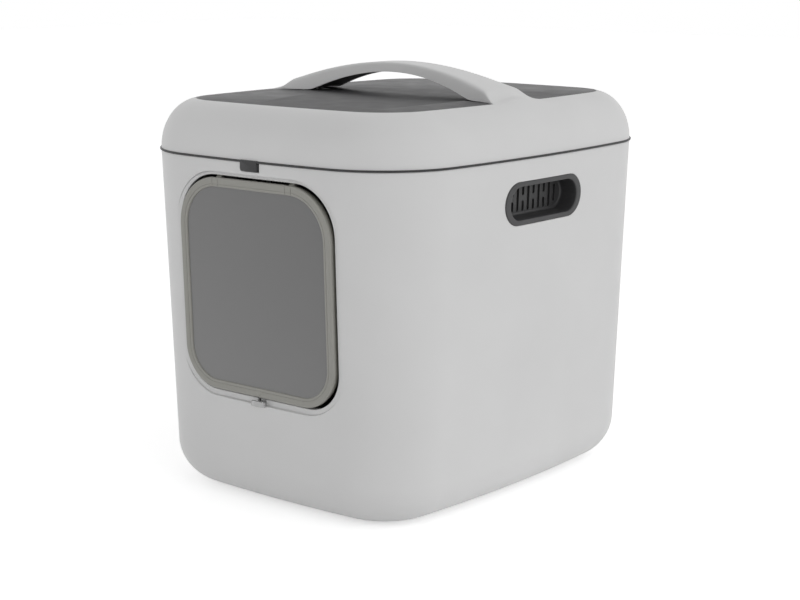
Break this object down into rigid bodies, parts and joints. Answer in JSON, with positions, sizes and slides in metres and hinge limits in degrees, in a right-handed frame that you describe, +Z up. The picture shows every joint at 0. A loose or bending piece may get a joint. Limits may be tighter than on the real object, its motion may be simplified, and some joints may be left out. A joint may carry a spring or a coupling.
{
  "type": "covered litter box",
  "caption": "Deep rounded pet litter box with a lift-off lid, an arched carry handle, a tinted swing flap with a slide latch, and slotted side grips.",
  "frame": {"origin": "centre of the box on the floor, under its rubber feet", "axes": "+Z up, the flap faces -Y, +X to the right seen from the front"},
  "size_m": [0.402, 0.4907, 0.4656],
  "materials": {
    "tub_plastic": "fine satin grain",
    "lid_plastic": "fine satin grain",
    "inner_lid_plastic": "satin",
    "liner_plastic": "matte",
    "grip_plastic": "satin",
    "frame_plastic": "satin",
    "back_ring_plastic": "satin",
    "pane_plastic": "tinted, glossy",
    "rail_plastic": "satin",
    "latch_plastic": "clear",
    "foot_rubber": "matte",
    "screw_steel": "bright",
    "magnet_metal": "plated",
    "filter_felt": "carbon felt"
  },
  "bodies": {
    "tub": {"body_tub": "tub_plastic", "foot_pads": "foot_rubber", "sill_magnets": "magnet_metal", "hinge_rail": "rail_plastic", "rail_screws": "screw_steel", "grip_left": "grip_plastic", "grip_right": "grip_plastic", "filter_pad_left": "filter_felt", "filter_pad_right": "filter_felt", "filter_cover_left": "tub_plastic", "filter_cover_right": "tub_plastic"},
    "lid": {"lid_shell": "lid_plastic", "lid_inner": "inner_lid_plastic", "handle_liner": "liner_plastic", "handle_screws": "screw_steel"},
    "flap": {"flap_frame": "frame_plastic", "flap_pane": "pane_plastic", "flap_back_ring": "back_ring_plastic", "flap_magnets": "magnet_metal", "hinge_rod": "screw_steel"},
    "latch": {"latch_slider": "latch_plastic", "latch_clip": "latch_plastic"}
  },
  "joints": [
    {"name": "lid_lift", "type": "slide", "parent": "tub", "child": "lid", "axis": [0, 0, 1], "range_m": [0, 0.15]},
    {"name": "flap_swing", "type": "hinge", "parent": "tub", "child": "flap", "pos_m": [0, -0.23828, 0.35075], "axis": [1, 0, 0], "range_deg": [-60, 60]},
    {"name": "latch_slide", "type": "slide", "parent": "tub", "child": "latch", "axis": [0, -0.0349, 0.9994], "range_m": [0, 0.005]}
  ]
}
